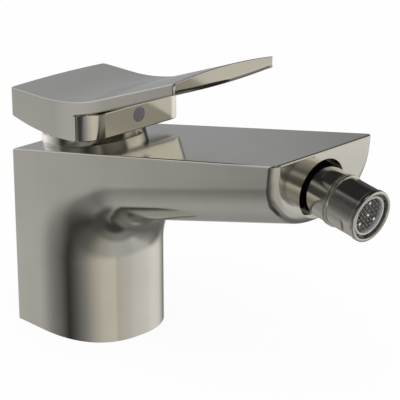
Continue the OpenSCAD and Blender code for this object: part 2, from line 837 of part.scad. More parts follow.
module seal_groove(r) {
    reach = ball_r + seal_d / 2 + run;
    translate([0, 0, reach * cos(seal_angle)]) rotate_extrude()
        translate([reach * sin(seal_angle), 0]) circle(r = r, $fn = 48);
}

module ball_seal() {
    color(rubber) on_outlet() seal_groove(seal_d / 2);
}

module swivel_sleeve() {
    color(finish_dark) on_outlet() difference() {
        union() {
            translate([0, 0, seat_front]) cylinder(r = shell_bore_r - run, h = shell_end - seat_front);
            translate([0, 0, shell_end]) cylinder(r = sleeve_r, h = outlet_end - shell_end);
            translate([0, 0, shell_end + ring_gap]) cylinder(r = sleeve_r + ring_h, h = ring_w);
            translate([0, 0, outlet_end - rim_w]) cylinder(r = sleeve_r + rim_h, h = rim_w);
        }
        translate([0, 0, seat_front - over]) cylinder(r = neck_bore_r, h = far);
        translate([0, 0, sleeve_step]) cylinder(r = sleeve_bore_r, h = far);
        for (s = [-1, 1])
            translate([s * flats_w, 0, outlet_end - rim_w - flats_len / 2])
                cube([flats_w, far, flats_len], center = true);
    }
}

module washer() {
    color(rubber) on_outlet()
        ring(cage_r - seat, neck_bore_r + 3 * seat, sleeve_step, sleeve_step + washer_t);
}

module flow_disc() {
    color(plastic_white) on_outlet() difference() {
        translate([0, 0, cage_s]) cylinder(r = cage_r - seat, h = flow_disc_t);
        for (i = [0:flow_holes - 1])
            rotate(360 * i / flow_holes) translate([cage_bore_r * spoke_r, 0, cage_s - over])
                cylinder(r = flow_hole_r, h = flow_disc_t + 2 * over);
    }
}

prop_places = concat([[0, 0]],
    [for (a = [90, 215, 325]) prop_ring_r * [cos(a), sin(a)]]);

module jet_former() {
    color(plastic_white) on_outlet() {
        difference() {
            translate([0, 0, former_s])
                cylinder(r = cage_bore_r - run, h = screen_s - former_s - former_gap);
            for (a = [0:60:300])
                rotate(a) translate([cage_bore_r * spoke_r, 0, former_s - over])
                    cylinder(r = former_hole_r, h = far);
        }
        for (p = prop_places)
            translate([p[0], p[1], screen_s - former_gap - seat])
                cylinder(r = prop_r, h = screen_t + former_gap + 2 * seat, $fn = 24);
    }
}

module aerator_cage() {
    color(plastic_grey) on_outlet() difference() {
        union() {
            translate([0, 0, former_s]) cylinder(r = cage_r, h = cage_step - former_s);
            translate([0, 0, former_s]) cylinder(r = cage_front_r, h = cage_end - former_s);
        }
        translate([0, 0, former_s - over]) cylinder(r = cage_bore_r, h = far);
    }
}

module wire_screen() {
    color([0.25, 0.25, 0.26]) on_outlet() difference() {
        translate([0, 0, screen_s]) cylinder(r = cage_bore_r - run, h = screen_t);
        for (p = prop_places)
            translate([p[0], p[1], screen_s - over])
                cylinder(r = prop_r + seat, h = screen_t + 2 * over, $fn = 24);
    }
}

body();
base_gasket();
cover_ring();
retaining_nut();
cartridge_housing();
cartridge_base();
port_seals();
fixed_disc();
moving_disc();
disc_carrier();
driver();
slide_ring();
limit_ring();
lever_stem();
stem_pin();
handle();
grub_screw();
indicator_plug();
ball_nipple();
nipple_seal();
slip_liner();
swivel_shell();
ball_seat();
ball_seal();
swivel_sleeve();
washer();
flow_disc();
jet_former();
aerator_cage();
wire_screen();
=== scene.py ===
import math

import bmesh
import bpy
from mathutils import Matrix, Vector


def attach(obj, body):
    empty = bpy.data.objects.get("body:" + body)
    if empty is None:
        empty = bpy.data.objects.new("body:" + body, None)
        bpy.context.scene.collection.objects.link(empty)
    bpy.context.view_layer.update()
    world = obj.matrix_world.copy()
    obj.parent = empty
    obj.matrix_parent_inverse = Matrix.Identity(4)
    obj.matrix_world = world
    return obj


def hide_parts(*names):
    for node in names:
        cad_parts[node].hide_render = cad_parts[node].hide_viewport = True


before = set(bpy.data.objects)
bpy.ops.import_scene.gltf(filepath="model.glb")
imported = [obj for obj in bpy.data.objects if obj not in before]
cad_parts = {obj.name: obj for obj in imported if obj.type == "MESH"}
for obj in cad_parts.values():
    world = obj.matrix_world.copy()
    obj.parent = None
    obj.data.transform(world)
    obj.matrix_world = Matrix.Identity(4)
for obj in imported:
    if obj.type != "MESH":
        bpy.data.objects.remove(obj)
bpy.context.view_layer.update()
mm = 0.001


# Camera: a long lens, from the front left and a little above, as the photograph was taken. Its aim
# lies to the right of the origin and above it, at the middle of the picture.
view_azimuth = math.radians(-43.949)
view_height = math.radians(20.724)
view_distance = 0.748327
view_aim = (0.04285, 0.04830)
back = Vector((math.sin(view_azimuth) * math.cos(view_height),
               -math.cos(view_azimuth) * math.cos(view_height),
               math.sin(view_height)))
right = Vector((math.cos(view_azimuth), math.sin(view_azimuth), 0))
up = back.cross(right)
camera_data = bpy.data.cameras.new("camera")
camera_data.sensor_width = 36
camera_data.lens = 159.83
camera = bpy.data.objects.new("camera", camera_data)
bpy.context.collection.objects.link(camera)
camera.matrix_world = (
    Matrix.Translation(back * view_distance + right * view_aim[0] + up * view_aim[1])
    @ Matrix((right, up, back)).transposed().to_4x4())
bpy.context.scene.camera = camera
bpy.context.scene.view_settings.view_transform = "Standard"


# Studio: a pale table top that the metal doesn't mirror, and a room of soft panels with dark gaps
# between them, which it does mirror. All else gets plain soft light, and the background is white.
def wired(tree, kind, links=(), **settings):
    """A node in the tree, with its settings, and its inputs set or wired."""
    node = tree.nodes.new(kind)
    for name, value in settings.items():
        setattr(node, name, value)
    for name, value in dict(links).items():
        if isinstance(value, bpy.types.NodeSocket):
            tree.links.new(value, node.inputs[name])
        else:
            node.inputs[name].default_value = value
    return node


def ramp_stops(node, stops):
    """Gives a colour ramp its stops, each a place and a grey or a colour."""
    elements = node.color_ramp.elements
    while len(elements) > 1:
        elements.remove(elements[-1])
    for number, (place, colour) in enumerate(stops):
        stop = elements[0] if number == 0 else elements.new(place)
        stop.position = place
        stop.color = (*(colour if isinstance(colour, tuple) else (colour,) * 3), 1)


# Rings of panels round the object. Each has the heights, in degrees over the horizon, between which
# it takes over from the one below, and then its panels: the degrees from straight in front, counted
# towards the side that is near in the photograph, the level and the tint.
warm, plain, cool = (1.07, 1.02, 0.86), (1.03, 1.01, 0.95), (0.985, 1.0, 1.015)
rings = [
    (None, [(0, 0.05, plain)]),
    ((-82, -74), [(-180, 0.36, plain), (-140, 0.31, plain), (-100, 0.13, plain), (-60, 0.22, plain),
                  (-10, 0.26, plain), (35, 0.2, warm), (90, 0.08, plain), (145, 0.07, plain),
                  (158, 0.12, plain), (172, 0.33, plain), (180, 0.36, plain)]),
    ((-64, -56), [(-180, 0.40, plain), (-135, 0.28, plain), (-120, 0.16, plain), (-90, 0.15, plain),
                  (-66, 0.30, plain), (-56, 0.52, plain), (-44, 0.52, plain), (-32, 0.44, plain),
                  (10, 0.46, plain), (45, 0.34, warm), (75, 0.14, plain),
                  (115, 0.045, plain), (127, 0.10, plain), (147, 0.32, plain), (165, 0.40, plain),
                  (180, 0.40, plain)]),
    ((-34, -26), [(-180, 0.9, plain), (-150, 0.6, plain), (-134, 0.5, plain), (-124, 0.30, plain),
                  (-114, 0.17, plain), (-105, 0.38, plain), (-95, 0.54, plain), (-85, 0.74, plain),
                  (-72, 0.80, plain), (-58, 0.80, plain), (-24, 0.57, plain), (3, 0.49, warm),
                  (9, 0.61, warm), (36, 0.57, warm), (56, 0.43, warm), (76, 0.23, plain),
                  (96, 0.09, plain), (107, 0.03, plain), (118, 0.14, plain), (131, 0.25, plain),
                  (137, 0.34, plain), (142, 0.49, plain), (152, 0.8, plain), (180, 0.9, plain)]),
    ((-22, -19), [(-180, 1.1, plain), (-155, 0.9, plain), (-146, 0.40, cool), (-131, 0.37, cool),
                  (-110, 0.9, plain), (-75, 1.0, plain), (-60, 0.95, plain), (-48, 0.60, warm),
                  (5, 0.55, warm), (45, 0.66, warm), (65, 0.55, warm), (80, 0.38, plain),
                  (90, 0.27, plain), (101, 0.12, plain), (112, 0.03, plain), (121, 0.04, plain),
                  (130, 0.25, plain), (138, 0.38, plain), (146, 0.5, plain),
                  (162, 0.85, plain), (180, 1.1, plain)]),
    ((-12, -6), [(-180, 0.9, plain), (-155, 0.5, plain), (-145, 0.37, cool), (-137, 0.33, cool),
                 (-127, 0.08, plain), (-104, 0.07, plain), (-94, 0.42, plain), (-68, 0.75, warm),
                 (-37, 0.72, warm), (-27, 0.03, plain), (28, 0.03, plain), (38, 0.28, warm),
                 (46, 0.12, warm), (62, 0.03, plain), (84, 0.15, plain), (96, 0.14, plain),
                 (123, 0.08, plain), (131, 0.35, plain), (146, 0.42, plain),
                 (160, 0.6, plain), (180, 0.9, plain)]),
    ((18, 26), [(-180, 0.6, plain), (-155, 0.50, plain), (-145, 0.40, cool), (-137, 0.32, cool),
                (-127, 0.07, plain), (-90, 0.08, plain), (-72, 0.35, plain), (-50, 0.44, warm),
                (0, 0.36, warm), (50, 0.42, warm), (80, 0.36, plain), (100, 0.07, plain),
                (123, 0.06, plain), (132, 0.42, plain), (148, 0.62, plain), (180, 0.6, plain)])]
# How far up the last ring reaches, above which it is dark up to the soft light overhead
reach_panels = [(-180, 1.0, plain), (-143, 1.0, plain), (-131, 0.0, plain), (-100, 0.0, plain),
                (-60, 0.7, plain), (5, 0.7, plain), (28, 0.2, plain), (122, 0.0, plain),
                (132, 1.0, plain), (180, 1.0, plain)]
extra_reach = 0.30
panels_end = [(25, 0.0), (33, 1.0)]
overhead = [(48, 0.02), (70, 0.02), (76, 0.12), (84, 0.72)]
plain_level = 0.75
world = bpy.data.worlds.new("studio")
bpy.context.scene.world = world
world.use_nodes = True
tree = world.node_tree
tree.nodes.clear()
direction = wired(tree, "ShaderNodeTexCoord").outputs["Generated"]
axes = wired(tree, "ShaderNodeSeparateXYZ", {"Vector": direction}).outputs
left = wired(tree, "ShaderNodeMath", {0: axes["X"], 1: -1.0}, operation="MULTIPLY").outputs[0]
front = wired(tree, "ShaderNodeMath", {0: axes["Y"], 1: -1.0}, operation="MULTIPLY").outputs[0]
turn = wired(tree, "ShaderNodeMath", {0: left, 1: front}, operation="ARCTAN2").outputs[0]
place = wired(tree, "ShaderNodeMapRange", {"Value": turn, "From Min": -math.pi,
                                           "From Max": math.pi}).outputs["Result"]


def ring_of(panels):
    """Colour by the direction round the object."""
    ramp = wired(tree, "ShaderNodeValToRGB", {"Fac": place})
    ramp_stops(ramp, [((angle + 180) / 360, tuple(level * part for part in tint))
                      for angle, level, tint in panels])
    return ramp.outputs["Color"]


def by_height(stops, value):
    """Level by height, from stops in degrees above the horizon."""
    spot = wired(tree, "ShaderNodeMapRange", {"Value": value, "From Min": -1.0,
                                              "From Max": 1.0}).outputs["Result"]
    ramp = wired(tree, "ShaderNodeValToRGB", {"Fac": spot})
    ramp_stops(ramp, [((math.sin(math.radians(angle)) + 1) / 2, level) for angle, level in stops])
    return ramp.outputs["Color"]


def blended(share, first, second):
    """The first colour, giving way to the second by the share."""
    node = wired(tree, "ShaderNodeMix", {0: share, 6: first, 7: second}, data_type="RGBA")
    return node.outputs[2]


room = ring_of(rings[0][1])
for ends, panels in rings[1:]:
    room = blended(by_height([(ends[0], 0.0), (ends[1], 1.0)], axes["Z"]), room, ring_of(panels))
further_up = wired(tree, "ShaderNodeMath", {0: ring_of(reach_panels), 1: -extra_reach},
                   operation="MULTIPLY").outputs[0]
dropped = wired(tree, "ShaderNodeMath", {0: axes["Z"], 1: further_up}, operation="ADD").outputs[0]
room = blended(by_height(panels_end, dropped), room, by_height(overhead, axes["Z"]))
light_path = wired(tree, "ShaderNodeLightPath").outputs
panels_light = wired(tree, "ShaderNodeBackground", {"Color": room, "Strength": 1.0})
plain_light = wired(tree, "ShaderNodeBackground", {"Color": (1, 1, 1, 1), "Strength": plain_level})
white = wired(tree, "ShaderNodeBackground", {"Color": (1, 1, 1, 1), "Strength": 1.0})
lit = wired(tree, "ShaderNodeMixShader", {0: light_path["Is Glossy Ray"], 1: plain_light.outputs[0],
                                          2: panels_light.outputs[0]})
seen = wired(tree, "ShaderNodeMixShader", {0: light_path["Is Camera Ray"], 1: lit.outputs[0],
                                           2: white.outputs[0]})
wired(tree, "ShaderNodeOutputWorld", {"Surface": seen.outputs[0]})

lamp_side = 1.2
lamp_power = 9
lamp_spot = Vector((-0.5, -0.3, 1.2))
lamp_aim = Vector((0, 0, 0.05))
lamp_data = bpy.data.lights.new("soft_box", "AREA")
lamp_data.shape = "SQUARE"
lamp_data.size = lamp_side
lamp_data.energy = lamp_power
lamp = bpy.data.objects.new("soft_box", lamp_data)
bpy.context.collection.objects.link(lamp)
lamp.location = lamp_spot
lamp.rotation_euler = (lamp_spot - lamp_aim).to_track_quat("Z", "Y").to_euler()
lamp.visible_glossy = False

floor_half = 12
floor_glow = 0.93
floor_material = bpy.data.materials.new("table_top")
floor_material.use_nodes = True
tree = floor_material.node_tree
tree.nodes.clear()
matt = wired(tree, "ShaderNodeBsdfDiffuse", {"Color": (0.9, 0.9, 0.9, 1)})
glow = wired(tree, "ShaderNodeEmission", {"Color": (1, 1, 1, 1), "Strength": 1.0})
seen_by_camera = wired(tree, "ShaderNodeLightPath").outputs["Is Camera Ray"]
glow_share = wired(tree, "ShaderNodeMath", {0: seen_by_camera, 1: floor_glow}, operation="MULTIPLY")
top = wired(tree, "ShaderNodeMixShader", {0: glow_share.outputs[0], 1: matt.outputs[0],
                                          2: glow.outputs[0]})
wired(tree, "ShaderNodeOutputMaterial", {"Surface": top.outputs[0]})
floor_shape = bmesh.new()
bmesh.ops.create_grid(floor_shape, x_segments=1, y_segments=1, size=floor_half)
floor_mesh = bpy.data.meshes.new("table_top")
floor_shape.to_mesh(floor_mesh)
floor_shape.free()
floor_mesh.materials.append(floor_material)
floor = bpy.data.objects.new("table_top", floor_mesh)
bpy.context.collection.objects.link(floor)
floor.visible_glossy = False


# Body: column, elbow and flat rising spout, one brass casting, ground flat, polished and plated
# in warm nickel. Its edges are eased, most at the spout's front. The holes inside are bored.
def skin_group():
    """Fine unevenness of a finished surface: colour, roughness and height, in the piece's own place."""
    cloud_scale, grain_scale = 60.0, 900.0
    group = bpy.data.node_groups.new("finished_skin", "ShaderNodeTree")
    for name, kind in (("Colour", "Color"), ("Stain", "Color"), ("Smooth", "Float"), ("Rough", "Float")):
        group.interface.new_socket(name=name, in_out="INPUT", socket_type="NodeSocket" + kind)
    for name, kind in (("Colour", "Color"), ("Roughness", "Float"), ("Height", "Float")):
        group.interface.new_socket(name=name, in_out="OUTPUT", socket_type="NodeSocket" + kind)
    given = wired(group, "NodeGroupInput").outputs
    spot = wired(group, "ShaderNodeTexCoord").outputs["Object"]
    cloud = wired(group, "ShaderNodeTexNoise", {"Vector": spot, "Scale": cloud_scale,
                                                "Detail": 3.0, "Roughness": 0.55}).outputs["Fac"]
    grain = wired(group, "ShaderNodeTexNoise", {"Vector": spot, "Scale": grain_scale,
                                                "Detail": 2.0, "Roughness": 0.6}).outputs["Fac"]
    patch = wired(group, "ShaderNodeMapRange", {"Value": cloud, "From Min": 0.38,
                                                "From Max": 0.68}).outputs["Result"]
    tone = wired(group, "ShaderNodeMix", {0: patch, 6: given["Colour"], 7: given["Stain"]},
                 data_type="RGBA")
    both = wired(group, "ShaderNodeMath", {0: cloud, 1: grain}, operation="MULTIPLY").outputs[0]
    rough = wired(group, "ShaderNodeMapRange", {"Value": both, "From Min": 0.15, "From Max": 0.4,
                                                "To Min": given["Smooth"],
                                                "To Max": given["Rough"]}).outputs["Result"]
    wired(group, "NodeGroupOutput", {"Colour": tone.outputs[2], "Roughness": rough, "Height": grain})
    return group


finished_skin = skin_group()


def finish(name, colour, stain, smooth, rough, metallic=0.0, bump=0.05):
    """A material on the finished skin, between two colours and two degrees of roughness."""
    material = bpy.data.materials.new(name)
    material.use_nodes = True
    tree = material.node_tree
    shader = tree.nodes["Principled BSDF"]
    skin = wired(tree, "ShaderNodeGroup", {}, node_tree=finished_skin)
    for socket, value in (("Colour", (*colour, 1)), ("Stain", (*stain, 1)), ("Smooth", smooth),
                          ("Rough", rough)):
        skin.inputs[socket].default_value = value
    tree.links.new(skin.outputs["Colour"], shader.inputs["Base Color"])
    tree.links.new(skin.outputs["Roughness"], shader.inputs["Roughness"])
    shader.inputs["Metallic"].default_value = metallic
    relief = wired(tree, "ShaderNodeBump", {"Height": skin.outputs["Height"], "Strength": bump,
                                            "Distance": 0.02 * mm})
    tree.links.new(relief.outputs["Normal"], shader.inputs["Normal"])
    return material


warm_nickel = finish("warm_nickel", (0.715, 0.70, 0.665), (0.69, 0.675, 0.64), 0.10, 0.15,
                     metallic=1.0, bump=0.08)


def swept(rows):
    """Closed mesh through rows of points; a row's last point joins its first, the ends are capped."""
    across, along = len(rows[0]), len(rows) - 1
    shape = bmesh.new()
    bmesh.ops.create_grid(shape, x_segments=across, y_segments=along, size=1)
    for vert in shape.verts:
        column = round((vert.co.x + 1) / 2 * across) % across
        row = round((vert.co.y + 1) / 2 * along)
        vert.co = rows[row][column]
    bmesh.ops.remove_doubles(shape, verts=shape.verts, dist=1e-5)
    bmesh.ops.holes_fill(shape, edges=shape.edges, sides=0)
    bmesh.ops.recalc_face_normals(shape, faces=shape.faces)
    return shape


def cut_away(shape, spot, way):
    """Cuts off all that lies beyond the plane through the spot, and closes the cut."""
    made = bmesh.ops.bisect_plane(shape, geom=shape.verts[:] + shape.edges[:] + shape.faces[:],
                                  dist=1e-5, plane_co=spot, plane_no=way, clear_outer=True)
    edges = [part for part in made["geom_cut"] if isinstance(part, bmesh.types.BMEdge)]
    if edges:
        bmesh.ops.holes_fill(shape, edges=edges, sides=0)


def on_plane(part, spot, way, gap=2e-3):
    """Whether all corners of an edge or face lie on the plane."""
    return all(abs((vert.co - Vector(spot)).dot(way)) < gap for vert in part.verts)


def ease(shape, edges, width, segments):
    """Rounds the edges off."""
    bmesh.ops.bevel(shape, geom=edges, offset=width, offset_type="OFFSET", segments=segments,
                    profile=0.5, affect="EDGES", clamp_overlap=False, material=-1)


def smooth(shape):
    """Smooth shading, except over sharp edges."""
    sharp = math.radians(32)
    for face in shape.faces:
        face.smooth = True
    for edge in shape.edges:
        edge.smooth = not edge.is_manifold or edge.calc_face_angle(0) < sharp


def piece(name, shape, material, body, slot, *nodes):
    """Object from a mesh drawn in millimetres, riding on a body and standing for CAD nodes."""
    bmesh.ops.scale(shape, vec=(mm, mm, mm), verts=shape.verts)
    mesh = bpy.data.meshes.new(name)
    shape.to_mesh(mesh)
    shape.free()
    mesh.materials.append(material)
    made = bpy.data.objects.new(name, mesh)
    bpy.context.collection.objects.link(made)
    weighted = made.modifiers.new("flat faces stay flat", "WEIGHTED_NORMAL")
    weighted.keep_sharp = True
    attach(made, body)
    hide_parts(*nodes)


# The bored sizes are those of the CAD body, which is a little smaller than the finished one
half_width, bored_half = 26.1, 25.8
spout_reach, bored_reach = 126.0, 124.2
back_y = 21
column_front = 27.5
elbow_r = 22
elbow_z = 35.3
elbow_turn = math.radians(75.4)
back_height = 75
top_rise = math.radians(11.5)
undercut = math.radians(7)
beyond = 120
section_steps = 52
elbow_steps = 26
column_power, spout_power = 2.45, 2.08
column_depth, spout_depth = 33, 20.5
# Turns of the elbow between which the section changes from the column's to the spout's
change_start, change_end = math.radians(12), math.radians(58)
run_below = 5
front_ease, front_ease_steps = 3.4, 7
top_ease, top_ease_steps = 0.9, 4
foot_ease, foot_ease_steps = 0.35, 2
foot_boss_r = 16.6
outlet_drop = math.radians(10)
outlet_spot = Vector((0, -121, 90.3))


def body_row(angle, shift):
    """The section, turned round the elbow by the angle and then moved on along the sweep.

    It is half a superellipse, squarer on the column than on the spout, whose sides run on straight.
    """
    share = min(max((angle - change_start) / (change_end - change_start), 0), 1)
    share = share * share * (3 - 2 * share)
    power = 2 / (column_power + (spout_power - column_power) * share)
    section_depth = column_depth + (spout_depth - column_depth) * share
    flat = []
    for number in range(section_steps + 1):
        t = math.pi * (number / section_steps - 0.5)
        flat.append((half_width * math.copysign(abs(math.sin(t)) ** power, t),
                     section_depth * (1 - max(math.cos(t), 0) ** power)))
    flat = [(-half_width, section_depth + beyond)] + flat + [(half_width, section_depth + beyond)]
    return [Vector((x, -column_front - elbow_r + (elbow_r + deep) * math.cos(angle)
                    - shift * math.sin(angle),
                    elbow_z + (elbow_r + deep) * math.sin(angle) + shift * math.cos(angle)))
            for x, deep in flat]


body_rows = [body_row(0, -elbow_z - run_below)]
body_rows += [body_row(elbow_turn * number / elbow_steps, 0) for number in range(elbow_steps + 1)]
body_rows += [body_row(elbow_turn, beyond)]
body_shape = swept(body_rows)
deck_spot, deck_way = (0, 0, 0), Vector((0, 0, -1))
back_spot, back_way = (0, back_y, 0), Vector((0, 1, 0))
side_way = Vector((1, 0, 0))
top_way = Vector((0, math.sin(top_rise), math.cos(top_rise)))
top_spot = (0, back_y, back_height)
front_way = Vector((0, -math.cos(undercut), -math.sin(undercut)))
front_spot, bored_spot = ((0, -reach, back_height + (back_y + reach) * math.tan(top_rise))
                          for reach in (spout_reach, bored_reach))
cut_away(body_shape, deck_spot, deck_way)
cut_away(body_shape, back_spot, back_way)
cut_away(body_shape, top_spot, top_way)
cut_away(body_shape, front_spot, front_way)
for side in (-half_width, half_width):
    bmesh.ops.dissolve_faces(body_shape, faces=[
        face for face in body_shape.faces if on_plane(face, (side, 0, 0), side_way, 1e-4)])
ease(body_shape, [edge for edge in body_shape.edges if on_plane(edge, front_spot, front_way)
                  and not on_plane(edge, top_spot, top_way)], front_ease, front_ease_steps)
ease(body_shape, [edge for edge in body_shape.edges if on_plane(edge, top_spot, top_way)
                  or (on_plane(edge, back_spot, back_way)
                      and abs(edge.verts[0].co.x - edge.verts[1].co.x) < 1e-3)],
     top_ease, top_ease_steps)
ease(body_shape, [edge for edge in body_shape.edges if on_plane(edge, deck_spot, deck_way)],
     foot_ease, foot_ease_steps)

# The bored inside is taken from the CAD body: all but its outer skin and its three cut faces
inside = bmesh.new()
inside.from_mesh(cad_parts["body"].data)
bmesh.ops.scale(inside, vec=(1 / mm, 1 / mm, 1 / mm), verts=inside.verts)
bmesh.ops.remove_doubles(inside, verts=inside.verts, dist=1e-3)
cut_faces = [face for face in inside.faces if on_plane(face, top_spot, top_way)
             or on_plane(face, bored_spot, front_way)
             or (on_plane(face, deck_spot, deck_way)
                 and face.calc_center_median().xy.length > foot_boss_r)]
bmesh.ops.delete(inside, geom=cut_faces, context="FACES")
outer_skin = {face for face in inside.faces
              if any(abs(vert.co.x) > bored_half - 0.05 for vert in face.verts)}
edge_of_skin = list(outer_skin)
while edge_of_skin:
    face = edge_of_skin.pop()
    for edge in face.edges:
        for other in edge.link_faces:
            if other not in outer_skin:
                outer_skin.add(other)
                edge_of_skin.append(other)
bmesh.ops.delete(inside, geom=list(outer_skin), context="FACES")

# The outlet's recess is carried on as far as the spout's front
outlet_way = Vector((0, -math.cos(outlet_drop), -math.sin(outlet_drop)))
carried = bmesh.ops.extrude_edge_only(inside, edges=[
    edge for edge in inside.edges if edge.is_boundary and on_plane(edge, bored_spot, front_way)])
further = (Vector(front_spot) - Vector(bored_spot)).dot(front_way) / outlet_way.dot(front_way)
bmesh.ops.translate(inside, vec=outlet_way * further,
                    verts=[part for part in carried["geom"] if isinstance(part, bmesh.types.BMVert)])
inside_mesh = bpy.data.meshes.new("inside")
inside.to_mesh(inside_mesh)
inside.free()
cut_planes = ((top_spot, top_way), (front_spot, front_way), (deck_spot, deck_way))
for spot, way in cut_planes:
    bmesh.ops.delete(body_shape, geom=[face for face in body_shape.faces if on_plane(face, spot, way)],
                     context="FACES_ONLY")
body_shape.from_mesh(inside_mesh)
bpy.data.meshes.remove(inside_mesh)
for spot, way in cut_planes:
    bmesh.ops.triangle_fill(body_shape, use_beauty=True, use_dissolve=False, normal=way, edges=[
        edge for edge in body_shape.edges if edge.is_boundary and on_plane(edge, spot, way)])
bmesh.ops.recalc_face_normals(body_shape, faces=body_shape.faces)
smooth(body_shape)
piece("mixer_body_casting", body_shape, warm_nickel, "mixer_body", "satin_nickel", "body")


# Cover ring: a thin ring of plated brass, turned, that stands over the cartridge's nut and hides it
# under the handle. It is cut parallel to the sloping top that it stands on.
def eased_profile(points):
    """Profile with its corners eased; each point is (along, radius, width of the easing)."""
    made, steps = [], 4
    for number, (along, radius, width) in enumerate(points):
        corner = Vector((along, radius))
        if not width:
            made.append(corner)
            continue
        before = Vector(points[number - 1][:2]) - corner
        after = Vector(points[(number + 1) % len(points)][:2]) - corner
        start = corner + before.normalized() * min(width, before.length * 0.49)
        end = corner + after.normalized() * min(width, after.length * 0.49)
        for step in range(steps + 1):
            t = step / steps
            made.append(start * (1 - t) ** 2 + corner * 2 * t * (1 - t) + end * t ** 2)
    return made


def turned(points, steps=96):
    """Ring or round piece turned about the third axis from a closed profile."""
    shape = bmesh.new()
    verts = [shape.verts.new((radius, 0, along)) for along, radius in eased_profile(points)]
    edges = [shape.edges.new(pair) for pair in zip(verts, verts[1:] + verts[:1])]
    bmesh.ops.spin(shape, geom=verts + edges, cent=(0, 0, 0), axis=(0, 0, 1),
                   angle=math.tau, steps=steps, use_merge=True)
    bmesh.ops.remove_doubles(shape, verts=shape.verts, dist=1e-4)
    bmesh.ops.recalc_face_normals(shape, faces=shape.faces)
    return shape


ring_r, nut_room_r, neck_hole_r = 21, 19.7, 15
ring_height, nut_room_height = 5.2, 4
ring_shape = turned([(0, ring_r, 0.15), (ring_height, ring_r, 0.8), (ring_height, neck_hole_r, 0.3),
                     (nut_room_height, neck_hole_r, 0.1), (nut_room_height, nut_room_r, 0),
                     (0, nut_room_r, 0)], steps=128)
for vert in ring_shape.verts:
    vert.co.z += back_height + (back_y - vert.co.y) * math.tan(top_rise)
smooth(ring_shape)
piece("cover_ring_turned", ring_shape, warm_nickel, "mixer_body", "satin_nickel", "cover_ring")


# Handle: one brass casting, a wide plate that bends up to the front, a little crowned on top and
# full underneath, on a hollow block with rounded front corners. Polished and plated as the body.
def combined(shape, tool, how):
    """The shape joined with the tool, with it cut out, or kept only where the tool is."""
    made = []
    for part in (shape, tool):
        mesh = bpy.data.meshes.new("blank")
        part.to_mesh(mesh)
        part.free()
        blank = bpy.data.objects.new("blank", mesh)
        bpy.context.collection.objects.link(blank)
        made.append(blank)
    cutter = made[0].modifiers.new("cut", "BOOLEAN")
    cutter.object, cutter.operation, cutter.solver = made[1], how, "EXACT"
    result = bmesh.new()
    result.from_object(made[0], bpy.context.evaluated_depsgraph_get())
    for blank in made:
        mesh = blank.data
        bpy.data.objects.remove(blank)
        bpy.data.meshes.remove(mesh)
    return result


def prism(outline, low, high):
    """Upright prism on an outline."""
    return swept([[Vector((x, y, z)) for x, y in outline] for z in (low, high)])


plate_reach = 75
plate_half = 26.1
front_lean = math.radians(1.5)
block_half = 25.0
flare = 0.9
flare_start, flare_end = -5, -36
plate_z = 100.5
handle_back = 22.2
front_t, bend_end_t, back_t = 3.7, 4.7, 5.0
back_crown, front_crown, belly = 0.6, 1.5, 1.0
back_rise, front_rise = math.radians(0.5), math.radians(20.5)
bend_back = 4
bend_r = 105
bend_start = Vector((bend_back, plate_z + (handle_back - bend_back) * math.tan(back_rise)))
bend_axis = bend_start + bend_r * Vector((math.sin(back_rise), math.cos(back_rise)))
run_back, run_on = 60, 65
plate_steps = 28
bend_steps = 14


def arc_height(x, bulge):
    """Height of an arc over a chord as wide as the plate."""
    radius = (plate_half ** 2 + bulge ** 2) / (2 * bulge)
    return math.sqrt(radius ** 2 - x ** 2) - radius + bulge


def plate_row(rise, shift, side_t):
    """Section across the plate where the bend has that rise, moved on straight along the plate."""
    share = (rise - back_rise) / (front_rise - back_rise)
    crown = back_crown + (front_crown - back_crown) * share
    wide = [plate_half * (2 * number / plate_steps - 1) for number in range(plate_steps + 1)]
    flat = [(x, bend_r - arc_height(x, crown)) for x in wide]
    flat += [(x, bend_r + side_t + arc_height(x, belly)) for x in reversed(wide)]
    return [Vector((x, bend_axis.x - out * math.sin(rise) - shift * math.cos(rise),
                    bend_axis.y - out * math.cos(rise) + shift * math.sin(rise))) for x, out in flat]


plate_rows = [plate_row(back_rise, -run_back, back_t)]
for number in range(bend_steps + 1):
    share = number / bend_steps
    plate_rows.append(plate_row(back_rise + (front_rise - back_rise) * share, 0,
                                back_t + (bend_end_t - back_t) * share))
plate_rows += [plate_row(front_rise, run_on, front_t)]
plate_shape = swept(plate_rows)

block_front = 27.25
block_low, block_high = 80, 115
in_plate = 1.6
corner_across, corner_along = 8.0, 9.5
corner_steps = 14
overlap = 1.5
under_axis, under_r = Vector((0, -3, 192)), 106
under_front, under_back = -15, 17
under_steps = 16


def block_outline(inset, spare):
    """Block seen from above, its sides and back standing out by the spare amount to be cut off."""
    side, front_y = block_half - inset, -block_front + inset
    across, along = corner_across - inset, corner_along - inset
    angles = [math.pi / 2 * number / corner_steps for number in range(corner_steps + 1)]
    outline = [(side - across + across * math.sin(a), front_y + along - along * math.cos(a))
               for a in angles]
    outline = [(-x, y) for x, y in reversed(outline)] + outline
    rear = handle_back + spare if spare else handle_back - inset
    if spare:
        outline += [(side + spare, front_y + along)]
    outline += [(side + spare, rear), (-side - spare, rear)]
    if spare:
        outline += [(-side - spare, front_y + along)]
    return outline


# The block ends inside the plate, and its underside is an arc from front to back
block_shape = prism(block_outline(0, overlap), block_low, block_high)
cut_away(block_shape, (0, handle_back, plate_z - in_plate),
         (0, math.sin(back_rise), math.cos(back_rise)))
for number in range(under_steps):
    angle = math.radians(under_front + (under_back - under_front) * (number + 0.5) / under_steps)
    way = Vector((0, math.sin(angle), -math.cos(angle)))
    facet_r = under_r * math.cos(math.radians((under_back - under_front) / 2 / under_steps))
    cut_away(block_shape, under_axis + way * facet_r, way)

